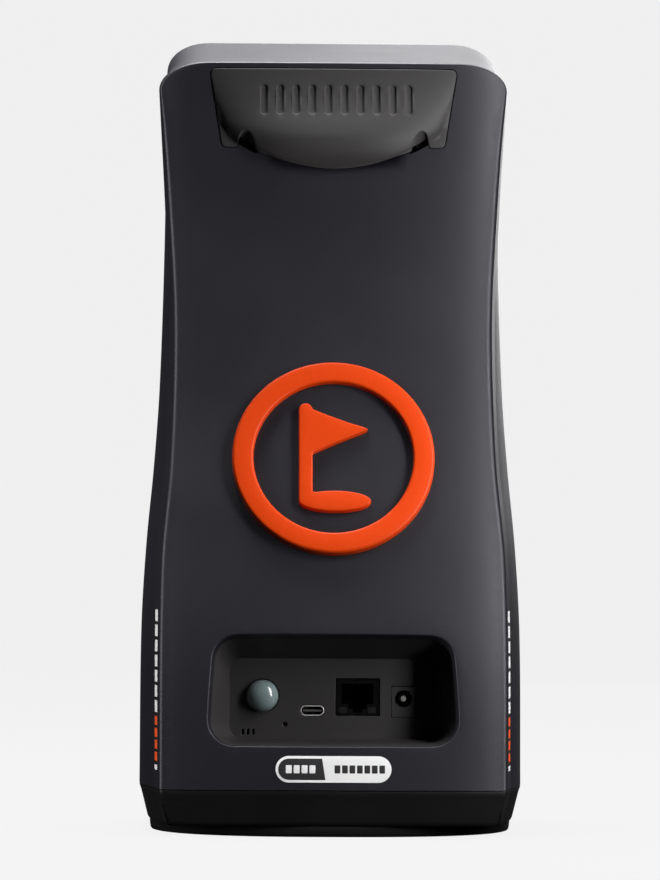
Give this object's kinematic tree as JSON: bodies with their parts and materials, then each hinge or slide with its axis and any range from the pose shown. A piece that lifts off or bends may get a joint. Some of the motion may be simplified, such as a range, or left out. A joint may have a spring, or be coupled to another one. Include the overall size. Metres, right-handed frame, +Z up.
{
  "type": "golf launch monitor",
  "caption": "Tall freestanding ball-tracking instrument: concave back with grip, raised sign and port bay, lens window and display on the front.",
  "frame": {"origin": "centre of the footprint on the floor", "axes": "+Z up; -Y towards the back face with the ports and the grip; +Y towards the lens window; +X to the right when the back is looked at"},
  "size_m": [0.145, 0.127, 0.305],
  "materials": {
    "rear_shell": "fine matte texture, cool dark grey",
    "front_shell": "fine matte texture, cool dark grey",
    "base_tray": "satin black",
    "base_gasket": "matte black",
    "foot_pad": "matte black",
    "grip": "soft-touch warm grey",
    "grip_screws": "blackened",
    "port_bay": "matte warm dark grey",
    "port_panel": "matte warm dark grey",
    "power_button": "pearly translucent pale teal",
    "button_light_guide": "milky clear",
    "power_switch": "black",
    "switch_plunger": "ivory",
    "reset_switch": "black",
    "reset_plunger": "ivory",
    "buzzer": "black",
    "io_board": "green solder mask",
    "usb_shell": "bright formed sheet",
    "usb_tongue": "black",
    "ethernet_housing": "black",
    "ethernet_shield": "bright formed sheet",
    "ethernet_contacts": "gold plated",
    "ethernet_light_pipes": "clear",
    "dc_jack_body": "black",
    "dc_jack_pin": "nickel plated",
    "dc_jack_contact": "nickel plated",
    "emblem_ring": "satin orange",
    "emblem_flag": "satin orange",
    "label_pill": "printed white on black",
    "side_mark_left": "printed white and orange",
    "side_mark_right": "printed white and orange",
    "lens_window": "dark tinted, polished",
    "window_gasket": "matte black",
    "display_glass": "black bordered, polished",
    "display_panel": "liquid crystal panel",
    "display_ribbon": "amber film",
    "camera_bracket": "bead blasted",
    "camera_housings": "black",
    "camera_lenses": "black anodised",
    "camera_glass": "coated",
    "camera_boards": "green solder mask",
    "led_boards": "white solder mask",
    "led_emitters": "dark infrared lenses",
    "chassis_frame": "brushed",
    "main_board": "green solder mask",
    "shield_cans": "tinned",
    "heat_sink": "black anodised",
    "antennas": "etched film",
    "battery_tray": "black",
    "battery_pack": "blue sleeve",
    "battery_strap": "black band",
    "battery_cable": "red insulation",
    "chassis_screws": "zinc plated",
    "board_screws": "zinc plated",
    "base_screws": "zinc plated"
  },
  "bodies": {
    "case": {"rear_shell": "rear_shell", "front_shell": "front_shell", "base_tray": "base_tray", "base_gasket": "base_gasket", "foot_pad": "foot_pad", "grip": "grip", "grip_screws": "grip_screws", "port_bay": "port_bay", "port_panel": "port_panel", "button_light_guide": "button_light_guide", "power_switch": "power_switch", "reset_switch": "reset_switch", "buzzer": "buzzer", "io_board": "io_board", "usb_shell": "usb_shell", "usb_tongue": "usb_tongue", "ethernet_housing": "ethernet_housing", "ethernet_shield": "ethernet_shield", "ethernet_contacts": "ethernet_contacts", "ethernet_light_pipes": "ethernet_light_pipes", "dc_jack_body": "dc_jack_body", "dc_jack_pin": "dc_jack_pin", "dc_jack_contact": "dc_jack_contact", "emblem_ring": "emblem_ring", "emblem_flag": "emblem_flag", "label_pill": "label_pill", "side_mark_left": "side_mark_left", "side_mark_right": "side_mark_right", "lens_window": "lens_window", "window_gasket": "window_gasket", "display_glass": "display_glass", "display_panel": "display_panel", "display_ribbon": "display_ribbon", "camera_bracket": "camera_bracket", "camera_housings": "camera_housings", "camera_lenses": "camera_lenses", "camera_glass": "camera_glass", "camera_boards": "camera_boards", "led_boards": "led_boards", "led_emitters": "led_emitters", "chassis_frame": "chassis_frame", "main_board": "main_board", "shield_cans": "shield_cans", "heat_sink": "heat_sink", "antennas": "antennas", "battery_tray": "battery_tray", "battery_pack": "battery_pack", "battery_strap": "battery_strap", "battery_cable": "battery_cable", "chassis_screws": "chassis_screws", "board_screws": "board_screws", "base_screws": "base_screws"},
    "button": {"power_button": "power_button", "switch_plunger": "switch_plunger"},
    "reset": {"reset_plunger": "reset_plunger"}
  },
  "joints": [
    {"name": "power_button_press", "type": "slide", "parent": "case", "child": "button", "axis": [0, 1, 0], "range_m": [0, 0.0008], "stiffness_N_per_m": 2000, "springref_m": -0.0005},
    {"name": "reset_press", "type": "slide", "parent": "case", "child": "reset", "axis": [0, 1, 0], "range_m": [0, 0.0003], "stiffness_N_per_m": 3000, "springref_m": -0.0003}
  ]
}
